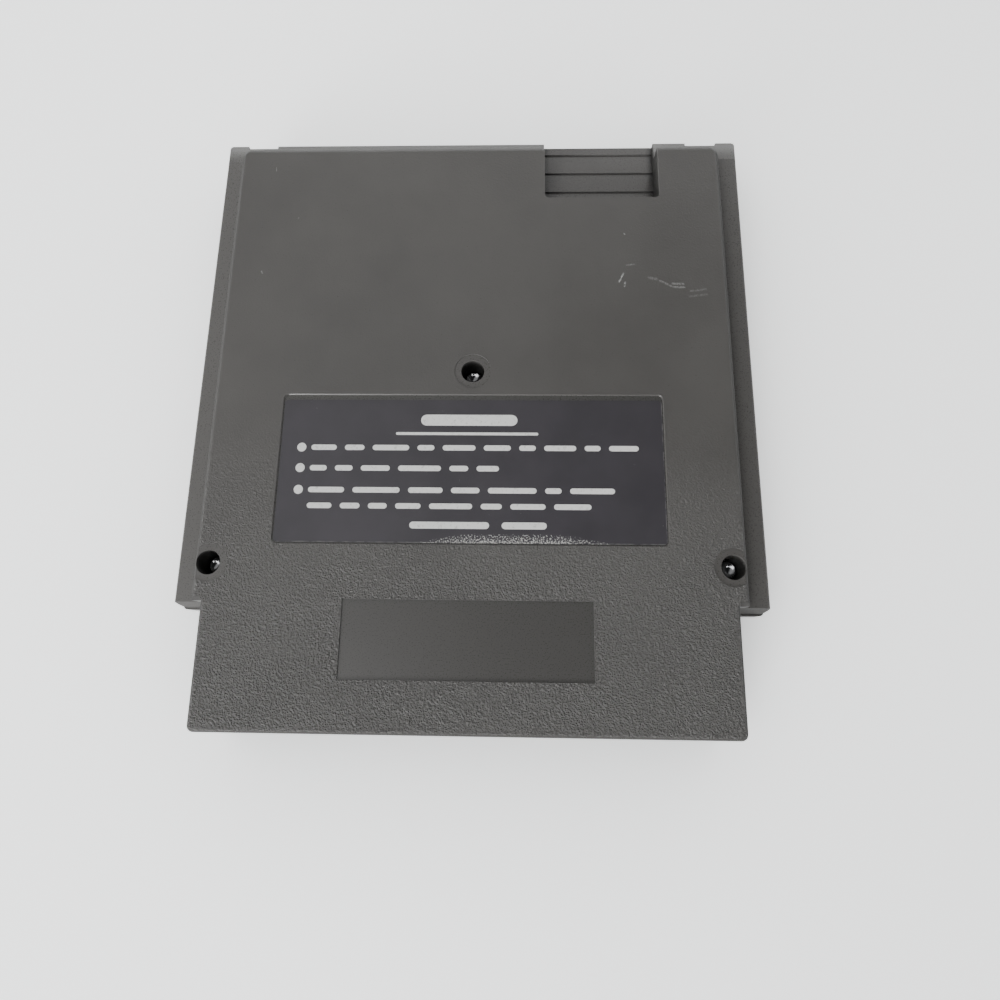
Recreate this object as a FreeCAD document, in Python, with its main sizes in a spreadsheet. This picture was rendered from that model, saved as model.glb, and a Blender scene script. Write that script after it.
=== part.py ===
import FreeCAD, Part
import Sketcher
import os

# Game cartridge, lying on its front face with the back face up.
# Model frame of every piece: X across the casing, Y from the connector end (0) to the grip end, Z up from
# the front face. The placements then bring the middle of the length to the origin.

# Driving dimensions, in millimetres
SIZES = {
    # Casing
    "overall_length": 133.35,
    "shell_wall": 2.0,
    "nose_length": 24.7,
    "panel_overhang": 2.0,
    "flange_overhang": 5.3,
    "front_rise": 4.4,
    "back_rise": 4.4,
    "back_panel_setback": 4.75,
    "panel_corner_radius": 2.0,
    "panel_edge_radius": 1.2,
    "nose_corner_radius": 1.3,
    "nose_edge_radius": 0.9,
    "shoulder_bevel": 0.9,
    "flange_shoulder_drop": 0.9,
    "flange_corner_radius": 0.8,
    "flange_edge_bevel": 0.4,
    "front_shoulder_inset": 0.5,
    "front_flange_reach": 0.4,
    "horn_width": 4.4,
    "horn_notch_width": 7.1,
    "horn_notch_depth": 0.7,
    "ledge_drop": 0.5,
    "lip_thickness": 0.9,
    "lip_height": 1.2,
    "lip_clearance": 0.1,
    "lip_margin": 6.0,
    # Screws and the bosses that they join
    "screw_edge_distance": 2.8,
    "lower_screw_inset": 7.5,
    "upper_boss_gap": 2.6,
    "well_diameter": 4.9,
    "well_ring_diameter": 7.7,
    "well_ring_depth": 0.15,
    "back_boss_diameter": 8.2,
    "front_boss_diameter": 7.0,
    "screw_seat_wall": 1.75,
    "screw_shank_diameter": 3.0,
    "screw_head_diameter": 4.4,
    "screw_head_height": 2.0,
    "screw_head_bevel": 0.5,
    "screw_flute_depth": 0.45,
    "screw_flute_width": 0.9,
    "screw_clearance": 0.1,
    "screw_tip_gap": 0.6,
    # Label recess, label and moulded plate on the back
    "label_recess_width": 79.0,
    "label_recess_height": 31.5,
    "label_screw_gap": 5.4,
    "label_recess_depth": 0.3,
    "label_recess_radius": 1.0,
    "label_recess_bevel": 0.2,
    "label_margin": 0.2,
    "label_head_margin": 1.1,
    "label_thickness": 0.15,
    "plate_width": 49.1,
    "plate_height": 15.3,
    "plate_reach": 10.0,
    "plate_depth": 0.25,
    # Finger notch in the back and the grip column on the front
    "grip_offset": 28.1,
    "grip_width": 25.6,
    "grip_length": 18.25,
    "grip_floor_wall": 2.3,
    "grip_tooth_depth": 0.32,
    "grip_tooth_pitch": 5.05,
    "grip_end_step": 1.9,
    "grip_corner_radius": 1.0,
    "groove_reach": 31.0,
    "groove_width": 1.5,
    "groove_depth": 0.9,
    # Bare recesses on the front
    "front_label_width": 57.0,
    "front_label_gap": 1.8,
    "front_label_reach": 38.0,
    "front_label_depth": 0.3,
    "arrow_width": 9.0,
    "arrow_length": 7.0,
    "arrow_reach": 9.0,
    # Circuit board and what carries it
    "contact_count": 36,
    "contact_pitch": 2.5,
    "contact_width": 1.7,
    "contact_length": 9.0,
    "contact_inset": 0.4,
    "contact_thickness": 0.1,
    "tongue_margin": 1.15,
    "tongue_length": 14.0,
    "board_shoulder": 3.5,
    "board_reach": 9.0,
    "board_body_length": 43.5,
    "board_thickness": 1.2,
    "board_side_gap": 1.45,
    "board_end_gap": 0.3,
    "board_boss_gap": 0.5,
    "board_clamp_gap": 0.1,
    "under_board_room": 6.15,
    "rib_thickness": 1.5,
    "clamp_rib_inset": 3.0,
    "stop_rib_width": 30.0,
    "post_inset": 7.25,
    "post_reach": 37.0,
    "post_shoulder_diameter": 6.0,
    "post_pin_diameter": 3.8,
    "post_pin_height": 1.0,
    "post_fit": 0.15,
    # Chips
    "memory_length": 36.5,
    "memory_width": 13.6,
    "memory_height": 3.9,
    "memory_lead_count": 14,
    "memory_row_spacing": 15.24,
    "memory_offset": 22.0,
    "memory_end_inset": 12.0,
    "lockout_length": 19.6,
    "lockout_width": 6.4,
    "lockout_height": 3.4,
    "lockout_lead_count": 8,
    "lockout_row_spacing": 7.62,
    "lockout_offset": 22.0,
    "lockout_end_inset": 35.5,
    "chip_standoff": 0.5,
    "chip_room": 1.75,
    "chip_edge_bevel": 0.4,
    "index_notch_radius": 1.2,
    "index_notch_depth": 0.6,
    "lead_pitch": 2.54,
    "lead_thickness": 0.25,
    "lead_width": 1.3,
    # Capacitors
    "can_diameter": 4.6,
    "can_length": 10.0,
    "can_wall": 0.3,
    "can_rim_bevel": 0.5,
    "sleeve_thickness": 0.2,
    "sleeve_gap": 0.05,
    "bung_length": 1.0,
    "bulk_offset": 20.0,
    "bulk_end_inset": 35.5,
    "bulk_lead_width": 0.5,
    "bulk_lead_spacing": 2.0,
    "bulk_lead_reach": 2.0,
    "ceramic_diameter": 4.4,
    "ceramic_depth": 2.4,
    "ceramic_standoff": 0.8,
    "ceramic_spacing": 7.0,
    "ceramic_end_inset": 12.0,
    "ceramic_lead_width": 0.5,
    "ceramic_lead_spacing": 2.5,
}

doc = FreeCAD.newDocument("cartridge")
sheet = doc.addObject("Spreadsheet::Sheet", "sizes")
for row, (alias, size) in enumerate(SIZES.items(), start=1):
    sheet.set("A%d" % row, alias.replace("_", " "))
    sheet.set("B%d" % row, str(size))
    sheet.setAlias("B%d" % row, alias)
doc.recompute()

# Sizes that follow from the sheet, as expressions
CONTACT_SPAN = "((sizes.contact_count - 1) * sizes.contact_pitch)"
TONGUE_HALF = f"(({CONTACT_SPAN} + sizes.contact_width) / 2 + sizes.tongue_margin)"
BOARD_HALF = f"({TONGUE_HALF} + sizes.board_shoulder)"
NOSE_INNER_HALF = f"({BOARD_HALF} + sizes.board_side_gap)"
NOSE_HALF = f"({NOSE_INNER_HALF} + sizes.shell_wall)"
PANEL_HALF = f"({NOSE_HALF} + sizes.panel_overhang)"
PANEL_INNER_HALF = f"({PANEL_HALF} - sizes.shell_wall)"
FLANGE_HALF = f"({PANEL_HALF} + sizes.flange_overhang)"
FLANGE_INNER_HALF = f"({FLANGE_HALF} - sizes.shell_wall)"
LENGTH = "sizes.overall_length"
FLANGE_SHOULDER = "(sizes.nose_length - sizes.flange_shoulder_drop)"
END_INNER = f"({LENGTH} - sizes.horn_notch_depth - sizes.shell_wall)"

FRONT_DEPTH = "(sizes.shell_wall + sizes.under_board_room + sizes.board_thickness / 2)"
BACK_DEPTH = ("(sizes.board_thickness / 2 + sizes.chip_standoff + sizes.memory_height + sizes.chip_room"
              " + sizes.shell_wall)")
BACK_FACE = f"({FRONT_DEPTH} + {BACK_DEPTH})"
BACK_FLANGE = f"({BACK_FACE} - sizes.back_rise)"
BOARD_UNDERSIDE = f"({FRONT_DEPTH} - sizes.board_thickness / 2)"
BOARD_TOP = f"({FRONT_DEPTH} + sizes.board_thickness / 2)"
SCREW_SEAT = f"({FRONT_DEPTH} + sizes.screw_seat_wall)"

BOARD_SHOULDER = "(sizes.board_reach + sizes.tongue_length)"
BOARD_END = f"({BOARD_SHOULDER} + sizes.board_body_length)"
LOWER_SCREW_X = f"({PANEL_HALF} - sizes.screw_edge_distance)"
LOWER_SCREW_Y = "(sizes.nose_length + sizes.lower_screw_inset)"
UPPER_SCREW_Y = f"({BOARD_END} + sizes.upper_boss_gap + sizes.back_boss_diameter / 2)"
SCREW_PLACES = (("0", UPPER_SCREW_Y), (f"-{LOWER_SCREW_X}", LOWER_SCREW_Y), (LOWER_SCREW_X, LOWER_SCREW_Y))
LABEL_TOP = f"({UPPER_SCREW_Y} - sizes.label_screw_gap)"
LABEL_BOTTOM = f"({LABEL_TOP} - sizes.label_recess_height)"
GRIP_LOW_X = "(sizes.grip_offset - sizes.grip_width / 2)"
GRIP_HIGH_X = "(sizes.grip_offset + sizes.grip_width / 2)"
GRIP_START = f"({LENGTH} - sizes.grip_length)"
GRIP_CREST = f"({FRONT_DEPTH} + sizes.grip_floor_wall + sizes.grip_tooth_depth)"
POST_X = f"({BOARD_HALF} - sizes.post_inset)"

# How far two features of one piece run into each other where they join
JOIN = "(sizes.shell_wall / 2)"


def new_body(label):
    """A sub-part in the model frame, brought to the middle of the length by its placement."""
    body = doc.addObject("PartDesign::Body", label)
    body.Label = label
    body.AllowCompound = True
    body.setExpression("Placement.Base.y", f"-{LENGTH} / 2")
    return body


def origin_feature(body, role):
    return next(feature for feature in body.Origin.OriginFeatures if feature.Role == role)


def new_sketch(body, name, offset="0", role="XY_Plane"):
    """A sketch on one of the body's origin planes, moved along the plane's normal by an expression."""
    sketch = body.newObject("Sketcher::SketchObject", name)
    sketch.AttachmentSupport = [(origin_feature(body, role), "")]
    sketch.MapMode = "FlatFace"
    sketch.setExpression("AttachmentOffset.Base.z", offset)
    return sketch


def evaluate(sketch, expression):
    return float(sketch.evalExpression(expression))


def fix_point(sketch, geometry, vertex, x, y):
    """Ties one vertex of a sketch to a pair of expressions."""
    for kind, axis, expression in (("DistanceX", -2, x), ("DistanceY", -1, y)):
        if expression == "0":
            sketch.addConstraint(Sketcher.Constraint("PointOnObject", geometry, vertex, axis))
            continue
        value = evaluate(sketch, expression)
        index = sketch.addConstraint(Sketcher.Constraint(kind, -1, 1, geometry, vertex, value))
        sketch.setExpression("Constraints[%d]" % index, expression)


def add_polygon(sketch, points):
    """A closed outline whose corners are pairs of expressions."""
    corners = [FreeCAD.Vector(evaluate(sketch, x), evaluate(sketch, y), 0) for x, y in points]
    sides = [sketch.addGeometry(Part.LineSegment(start, end))
             for start, end in zip(corners, corners[1:] + corners[:1])]
    for side, following in zip(sides, sides[1:] + sides[:1]):
        sketch.addConstraint(Sketcher.Constraint("Coincident", side, 2, following, 1))
    for side, (x, y) in zip(sides, points):
        fix_point(sketch, side, 1, x, y)


def add_rectangle(sketch, low_x, high_x, low_y, high_y):
    add_polygon(sketch, ((low_x, low_y), (high_x, low_y), (high_x, high_y), (low_x, high_y)))


def add_square(sketch, x, y, width):
    half = f"{width} / 2"
    add_rectangle(sketch, f"{x} - {half}", f"{x} + {half}", f"{y} - {half}", f"{y} + {half}")


def add_circle(sketch, x, y, diameter):
    centre = FreeCAD.Vector(evaluate(sketch, x), evaluate(sketch, y), 0)
    width = evaluate(sketch, diameter)
    circle = sketch.addGeometry(Part.Circle(centre, FreeCAD.Vector(0, 0, 1), width / 2))
    fix_point(sketch, circle, 3, x, y)
    index = sketch.addConstraint(Sketcher.Constraint("Diameter", circle, width))
    sketch.setExpression("Constraints[%d]" % index, diameter)


def pad(body, sketch, length, reversed_way=False, symmetric=False):
    feature = body.newObject("PartDesign::Pad", sketch.Name + "_pad")
    feature.Profile = sketch
    feature.setExpression("Length", length)
    feature.Reversed = reversed_way
    feature.Midplane = symmetric
    doc.recompute()
    return feature


def pocket(body, sketch, depth, upwards=False, symmetric=False):
    """Cuts against the sketch's normal, or along it, and makes sure that material went."""
    before = body.Shape.Volume
    feature = body.newObject("PartDesign::Pocket", sketch.Name + "_pocket")
    feature.Profile = sketch
    feature.setExpression("Length", depth)
    feature.Reversed = upwards
    feature.Midplane = symmetric
    doc.recompute()
    if not feature.Shape.Volume < before:
        raise RuntimeError("nothing cut by " + feature.Name)
    return feature


def edge_feature(body, kind, name, chosen):
    """A fillet or chamfer on the edges of the body that the given test picks."""
    base = body.Tip
    names = ["Edge%d" % number for number, edge in enumerate(base.Shape.Edges, start=1) if chosen(edge)]
    feature = body.newObject("PartDesign::" + kind, name)
    feature.Base = (base, names)
    return feature


def fillet(body, name, radius, chosen):
    edge_feature(body, "Fillet", name, chosen).setExpression("Radius", radius)
    doc.recompute()


def chamfer(body, name, size, chosen):
    edge_feature(body, "Chamfer", name, chosen).setExpression("Size", size)
    doc.recompute()


def linear_pattern(body, name, originals, role, spacing, count):
    feature = body.newObject("PartDesign::LinearPattern", name)
    feature.Originals = originals
    feature.Direction = (origin_feature(body, role), [""])
    feature.Mode = "Spacing"
    feature.setExpression("Offset", spacing)
    feature.setExpression("Occurrences", count)
    body.Tip = feature
    doc.recompute()
    return feature


def mirrored(body, name, role):
    """Adds the mirror image of the whole body."""
    feature = body.newObject("PartDesign::Mirrored", name)
    feature.TransformMode = "Whole shape"
    feature.MirrorPlane = (origin_feature(body, role), [""])
    body.Tip = feature
    doc.recompute()
    return feature


TOLERANCE = 1e-4


def near(first, second):
    return abs(first - second) < TOLERANCE


def is_upright(edge):
    """True for an edge along Z."""
    box = edge.BoundBox
    return near(box.XLength, 0) and near(box.YLength, 0)


def is_level(edge, height):
    """True for an edge that lies at one height."""
    box = edge.BoundBox
    return near(box.ZMin, height) and near(box.ZMax, height)


def add_flange_outline(sketch, shoulder):
    """The flanges' outline, with a horn at each corner of the grip end and a shallow notch beside it."""
    horn = f"({FLANGE_HALF} - sizes.horn_width)"
    ledge = f"({FLANGE_HALF} - sizes.horn_width - sizes.horn_notch_width)"
    notch = f"({LENGTH} - sizes.horn_notch_depth)"
    half = ((FLANGE_HALF, shoulder), (FLANGE_HALF, LENGTH), (horn, LENGTH), (horn, notch), (ledge, notch),
            (ledge, LENGTH))
    add_polygon(sketch, half + tuple((f"-{x}", y) for x, y in reversed(half)))


def add_panel_outline(sketch, nose_half, panel_half, nose_start, shoulder, panel_end):
    """The raised panel's outline, stepped in to the narrow connector end."""
    half = ((nose_half, nose_start), (nose_half, shoulder), (panel_half, shoulder), (panel_half, panel_end))
    add_polygon(sketch, half + tuple((f"-{x}", y) for x, y in reversed(half)))


def slope_shoulder(body, name, start, run, level, foot):
    """Slopes the shoulder's end on both sides of the narrow end, from a level down to a foot."""
    for side, place, outwards in (("left", f"-{NOSE_HALF}", False), ("right", NOSE_HALF, True)):
        wedge = new_sketch(body, f"{name}_{side}", place, "YZ_Plane")
        add_polygon(wedge, ((start, level), (f"{start} + {run}", level), (start, foot)))
        pocket(body, wedge, f"{FLANGE_HALF} - {NOSE_HALF}", upwards=outwards)


def round_outside(body, side, flange_level, face_level, shoulder, panel_end):
    """Rounds the corners in plan and the rims of the panel and of the narrow end, and bevels the flanges."""
    def value(expression):
        return evaluate(sheet, expression)

    flange_half, nose_half, panel_half = value(FLANGE_HALF), value(NOSE_HALF), value(PANEL_HALF)
    shoulder_y, panel_end_y = value(shoulder), value(panel_end)
    horn_start = value(f"{LENGTH} - sizes.horn_width")
    flange_z, face_z = value(flange_level), value(face_level)

    def on_flange_corner(edge):
        point = edge.CenterOfMass
        return is_upright(edge) and near(abs(point.x), flange_half)

    def on_panel_corner(edge):
        point = edge.CenterOfMass
        return is_upright(edge) and near(abs(point.x), panel_half) and near(point.y, panel_end_y)

    def on_nose_corner(edge):
        point = edge.CenterOfMass
        return is_upright(edge) and near(abs(point.x), nose_half) and near(point.y, 0)

    fillet(body, side + "_flange_corners", "sizes.flange_corner_radius", on_flange_corner)
    fillet(body, side + "_panel_corners", "sizes.panel_corner_radius", on_panel_corner)
    fillet(body, side + "_nose_corners", "sizes.nose_corner_radius", on_nose_corner)

    def on_panel_rim(edge):
        point = edge.CenterOfMass
        return is_level(edge, face_z) and point.y > shoulder_y + TOLERANCE and abs(point.x) <= panel_half

    def on_nose_rim(edge):
        return is_level(edge, face_z) and edge.CenterOfMass.y < shoulder_y - TOLERANCE

    def on_flange_rim(edge):
        box = edge.BoundBox
        outside = max(abs(box.XMin), abs(box.XMax)) > panel_half + TOLERANCE
        return is_level(edge, flange_z) and outside and edge.CenterOfMass.y < horn_start

    fillet(body, side + "_panel_rim", "sizes.panel_edge_radius", on_panel_rim)
    fillet(body, side + "_nose_rim", "sizes.nose_edge_radius", on_nose_rim)
    chamfer(body, side + "_flange_rim", "sizes.flange_edge_bevel", on_flange_rim)


def make_back_shell():
    body = new_body("back_shell")
    shoulder = "sizes.nose_length"
    panel_end = f"({LENGTH} - sizes.back_panel_setback)"

    # Outside
    flange = new_sketch(body, "back_flange", FRONT_DEPTH)
    add_flange_outline(flange, FLANGE_SHOULDER)
    pad(body, flange, f"{BACK_DEPTH} - sizes.back_rise")
    panel = new_sketch(body, "back_panel", FRONT_DEPTH)
    add_panel_outline(panel, NOSE_HALF, PANEL_HALF, "0", shoulder, panel_end)
    pad(body, panel, BACK_DEPTH)
    round_outside(body, "back", BACK_FLANGE, BACK_FACE, shoulder, panel_end)
    slope_shoulder(body, "back_panel_slope", shoulder, "sizes.shoulder_bevel", BACK_FACE,
                   f"{BACK_FACE} - sizes.shoulder_bevel")
    slope_shoulder(body, "back_flange_slope", FLANGE_SHOULDER, "sizes.flange_shoulder_drop", BACK_FLANGE,
                   f"{FRONT_DEPTH} + sizes.flange_edge_bevel")
    ledge = new_sketch(body, "back_ledge", "0", "YZ_Plane")
    add_polygon(ledge, ((panel_end, BACK_FLANGE), (LENGTH, f"{BACK_FLANGE} - sizes.ledge_drop"),
                        (LENGTH, BACK_FLANGE)))
    pocket(body, ledge, f"2 * ({FLANGE_HALF} + sizes.shell_wall)", symmetric=True)

    # Inside, open at the connector end
    flange_room = new_sketch(body, "back_flange_room", FRONT_DEPTH)
    add_rectangle(flange_room, f"-{FLANGE_INNER_HALF}", FLANGE_INNER_HALF, f"{shoulder} + sizes.shell_wall",
                  END_INNER)
    pocket(body, flange_room, f"{BACK_DEPTH} - sizes.back_rise - sizes.shell_wall", upwards=True)
    panel_room = new_sketch(body, "back_panel_room", FRONT_DEPTH)
    add_panel_outline(panel_room, NOSE_INNER_HALF, PANEL_INNER_HALF, "-sizes.shell_wall",
                      f"{shoulder} + sizes.shell_wall", f"{panel_end} - sizes.shell_wall")
    pocket(body, panel_room, f"{BACK_DEPTH} - sizes.shell_wall", upwards=True)

    # Screw bosses and the ribs that hold the board down
    bosses = new_sketch(body, "back_bosses", FRONT_DEPTH)
    for x, y in SCREW_PLACES:
        add_circle(bosses, x, y, "sizes.back_boss_diameter")
    pad(body, bosses, f"{BACK_DEPTH} - sizes.back_rise - {JOIN}")
    collars = new_sketch(body, "back_collars", FRONT_DEPTH)
    add_circle(collars, "0", UPPER_SCREW_Y, "sizes.back_boss_diameter")
    pad(body, collars, f"{BACK_DEPTH} - {JOIN}")
    ribs = new_sketch(body, "back_clamp_ribs", f"{BOARD_TOP} + sizes.board_clamp_gap")
    rib_outer = f"({BOARD_HALF} - sizes.clamp_rib_inset)"
    rib_inner = f"({rib_outer} - sizes.rib_thickness)"
    rib_start = f"{LOWER_SCREW_Y} + sizes.back_boss_diameter / 2 + sizes.rib_thickness"
    rib_end = f"{BOARD_END} - sizes.rib_thickness"
    add_rectangle(ribs, rib_inner, rib_outer, rib_start, rib_end)
    add_rectangle(ribs, f"-{rib_outer}", f"-{rib_inner}", rib_start, rib_end)
    pad(body, ribs, f"{BACK_FACE} - {JOIN} - {BOARD_TOP} - sizes.board_clamp_gap")

    # Finger notch: its box inside the casing, then the notch, then the toothed floor
    for name, end, height in (("back_grip_box", f"{panel_end} - {JOIN}", f"{BACK_DEPTH} - {JOIN}"),
                              ("back_grip_floor", f"{LENGTH} - sizes.horn_notch_depth - {JOIN}",
                               f"{BACK_DEPTH} - sizes.back_rise - {JOIN}")):
        box = new_sketch(body, name, FRONT_DEPTH)
        add_rectangle(box, f"{GRIP_LOW_X} - sizes.shell_wall", f"{GRIP_HIGH_X} + sizes.shell_wall",
                      f"{GRIP_START} - sizes.shell_wall", end)
        pad(body, box, height)
    notch = new_sketch(body, "back_grip_notch", BACK_FACE)
    add_rectangle(notch, GRIP_LOW_X, GRIP_HIGH_X, GRIP_START, f"{LENGTH} + sizes.shell_wall")
    pocket(body, notch, f"{BACK_FACE} - {GRIP_CREST}")
    start_y = evaluate(sheet, GRIP_START)
    grip_sides = (evaluate(sheet, GRIP_LOW_X), evaluate(sheet, GRIP_HIGH_X))
    fillet(body, "back_grip_corners", "sizes.grip_corner_radius",
           lambda edge: is_upright(edge) and near(edge.CenterOfMass.y, start_y)
           and any(near(edge.CenterOfMass.x, x) for x in grip_sides))
    tooth = new_sketch(body, "back_grip_tooth", "sizes.grip_offset", "YZ_Plane")
    tooth_far = f"({LENGTH} - sizes.grip_end_step + sizes.grip_tooth_pitch)"
    tooth_near = f"({LENGTH} - sizes.grip_end_step)"
    add_polygon(tooth, ((tooth_near, GRIP_CREST), (tooth_far, f"{GRIP_CREST} - sizes.grip_tooth_depth"),
                        (tooth_far, GRIP_CREST)))
    cut = pocket(body, tooth, "sizes.grip_width", symmetric=True)
    teeth = "ceil((sizes.grip_length - sizes.grip_end_step) / sizes.grip_tooth_pitch)"
    pattern = linear_pattern(body, "back_grip_teeth", [cut], "Y_Axis", "sizes.grip_tooth_pitch", teeth)
    pattern.Reversed = True

    # Screw wells with their smooth rings, and the clearance holes under the heads
    for name, height, diameter, depth in (
            ("back_well_rings", BACK_FACE, "sizes.well_ring_diameter", "sizes.well_ring_depth"),
            ("back_wells", BACK_FACE, "sizes.well_diameter", f"{BACK_FACE} - {SCREW_SEAT}"),
            ("back_screw_holes", SCREW_SEAT, "sizes.screw_shank_diameter + 2 * sizes.screw_clearance",
             f"{SCREW_SEAT} - {FRONT_DEPTH}")):
        holes = new_sketch(body, name, height)
        for x, y in SCREW_PLACES:
            add_circle(holes, x, y, diameter)
        pocket(body, holes, depth)

    # Label recess and moulded plate
    recess = new_sketch(body, "back_label_recess", BACK_FACE)
    recess_half = "sizes.label_recess_width / 2"
    add_rectangle(recess, f"-{recess_half}", recess_half, LABEL_BOTTOM, LABEL_TOP)
    pocket(body, recess, "sizes.label_recess_depth")
    recess_x = evaluate(sheet, recess_half)
    recess_ys = (evaluate(sheet, LABEL_BOTTOM), evaluate(sheet, LABEL_TOP))
    fillet(body, "back_label_corners", "sizes.label_recess_radius",
           lambda edge: is_upright(edge) and near(abs(edge.CenterOfMass.x), recess_x)
           and any(near(edge.CenterOfMass.y, y) for y in recess_ys))
    back_z = evaluate(sheet, BACK_FACE)

    def on_recess_rim(edge):
        box = edge.BoundBox
        across = max(-box.XMin, box.XMax) < recess_x + TOLERANCE
        along = box.YMin > recess_ys[0] - TOLERANCE and box.YMax < recess_ys[1] + TOLERANCE
        return is_level(edge, back_z) and across and along

    chamfer(body, "back_label_rim", "sizes.label_recess_bevel", on_recess_rim)
    plate = new_sketch(body, "back_plate", BACK_FACE)
    add_rectangle(plate, "-sizes.plate_width / 2", "sizes.plate_width / 2", "sizes.plate_reach",
                  "sizes.plate_reach + sizes.plate_height")
    pocket(body, plate, "sizes.plate_depth")
    return body


def make_front_shell():
    body = new_body("front_shell")
    shoulder = "(sizes.nose_length + sizes.front_shoulder_inset)"
    flange_shoulder = f"({FLANGE_SHOULDER} - sizes.front_flange_reach)"
    panel_end = f"({LENGTH} - sizes.horn_notch_depth)"

    # Outside
    flange = new_sketch(body, "front_flange", "sizes.front_rise")
    add_flange_outline(flange, flange_shoulder)
    pad(body, flange, f"{FRONT_DEPTH} - sizes.front_rise")
    panel = new_sketch(body, "front_panel", "0")
    add_panel_outline(panel, NOSE_HALF, PANEL_HALF, "0", shoulder, panel_end)
    pad(body, panel, FRONT_DEPTH)
    round_outside(body, "front", "sizes.front_rise", "0", shoulder, panel_end)
    slope_shoulder(body, "front_panel_slope", shoulder, "sizes.shoulder_bevel", "0", "sizes.shoulder_bevel")

    # Inside, open at the connector end
    flange_room = new_sketch(body, "front_flange_room", FRONT_DEPTH)
    add_rectangle(flange_room, f"-{FLANGE_INNER_HALF}", FLANGE_INNER_HALF, f"{shoulder} + sizes.shell_wall",
                  END_INNER)
    pocket(body, flange_room, f"{FRONT_DEPTH} - sizes.front_rise - sizes.shell_wall")
    panel_room = new_sketch(body, "front_panel_room", FRONT_DEPTH)
    add_panel_outline(panel_room, NOSE_INNER_HALF, PANEL_INNER_HALF, "-sizes.shell_wall",
                      f"{shoulder} + sizes.shell_wall", f"{panel_end} - sizes.shell_wall")
    pocket(body, panel_room, f"{FRONT_DEPTH} - sizes.shell_wall")

    # Bosses for the screws, posts and rails for the board, and the rib behind its inner edge
    bosses = new_sketch(body, "front_bosses", JOIN)
    for x, y in SCREW_PLACES:
        add_circle(bosses, x, y, "sizes.front_boss_diameter")
    pad(body, bosses, f"{FRONT_DEPTH} - {JOIN}")
    posts = new_sketch(body, "front_posts", JOIN)
    pins = new_sketch(body, "front_pins", JOIN)
    rails = new_sketch(body, "front_rails", JOIN)
    rail_inner = f"({TONGUE_HALF} - sizes.rib_thickness)"
    for side in ("", "-"):
        add_circle(posts, f"{side}{POST_X}", "sizes.post_reach", "sizes.post_shoulder_diameter")
        add_circle(pins, f"{side}{POST_X}", "sizes.post_reach", "sizes.post_pin_diameter")
        low, high = (rail_inner, TONGUE_HALF) if side == "" else (f"-{TONGUE_HALF}", f"-{rail_inner}")
        add_rectangle(rails, low, high, "sizes.post_reach + sizes.post_shoulder_diameter", BOARD_END)
    pad(body, posts, f"{BOARD_UNDERSIDE} - {JOIN}")
    pad(body, pins, f"{BOARD_TOP} + sizes.post_pin_height - {JOIN}")
    pad(body, rails, f"{BOARD_UNDERSIDE} - {JOIN}")
    stop = new_sketch(body, "front_stop_rib", JOIN)
    stop_face = f"{BOARD_END} + sizes.board_end_gap"
    add_rectangle(stop, "-sizes.stop_rib_width / 2", "sizes.stop_rib_width / 2", stop_face,
                  f"{stop_face} + sizes.rib_thickness")
    pad(body, stop, f"{BOARD_TOP} - {JOIN}")

    # Lips along the flanges that line the two halves up
    lips = new_sketch(body, "front_lips", f"sizes.front_rise + {JOIN}")
    lip_outer = f"({FLANGE_INNER_HALF} - sizes.lip_clearance)"
    lip_inner = f"({lip_outer} - sizes.lip_thickness)"
    lip_span = (f"{shoulder} + sizes.shell_wall + sizes.lip_margin", f"{END_INNER} - sizes.lip_margin")
    add_rectangle(lips, lip_inner, lip_outer, *lip_span)
    add_rectangle(lips, f"-{lip_outer}", f"-{lip_inner}", *lip_span)
    pad(body, lips, f"{FRONT_DEPTH} + sizes.lip_height - sizes.front_rise - {JOIN}")

    # Bores for the screws
    bores = new_sketch(body, "front_bores", FRONT_DEPTH)
    for x, y in SCREW_PLACES:
        add_circle(bores, x, y, "sizes.screw_shank_diameter + 2 * sizes.screw_clearance")
    pocket(body, bores, f"{FRONT_DEPTH} - sizes.shell_wall")

    # Grip column, bare label recess and insertion arrow on the front face
    groove = new_sketch(body, "front_groove", "0")
    add_rectangle(groove, GRIP_LOW_X, GRIP_HIGH_X, "sizes.groove_reach",
                  "sizes.groove_reach + sizes.groove_width")
    cut = pocket(body, groove, "sizes.groove_depth", upwards=True)
    grooves = f"floor(({panel_end} - sizes.groove_reach - sizes.shell_wall) / sizes.grip_tooth_pitch) + 1"
    linear_pattern(body, "front_grooves", [cut], "Y_Axis", "sizes.grip_tooth_pitch", grooves)
    recess = new_sketch(body, "front_label_recess", "0")
    recess_high = f"({GRIP_LOW_X} - sizes.front_label_gap)"
    recess_low = f"({recess_high} - sizes.front_label_width)"
    add_rectangle(recess, recess_low, recess_high, "sizes.front_label_reach",
                  f"{LENGTH} + sizes.shell_wall")
    pocket(body, recess, "sizes.front_label_depth", upwards=True)
    arrow = new_sketch(body, "front_arrow", "0")
    arrow_base = "sizes.arrow_reach + sizes.arrow_length"
    add_polygon(arrow, (("0", "sizes.arrow_reach"), ("sizes.arrow_width / 2", arrow_base),
                        ("-sizes.arrow_width / 2", arrow_base)))
    pocket(body, arrow, "sizes.front_label_depth", upwards=True)
    return body


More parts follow.
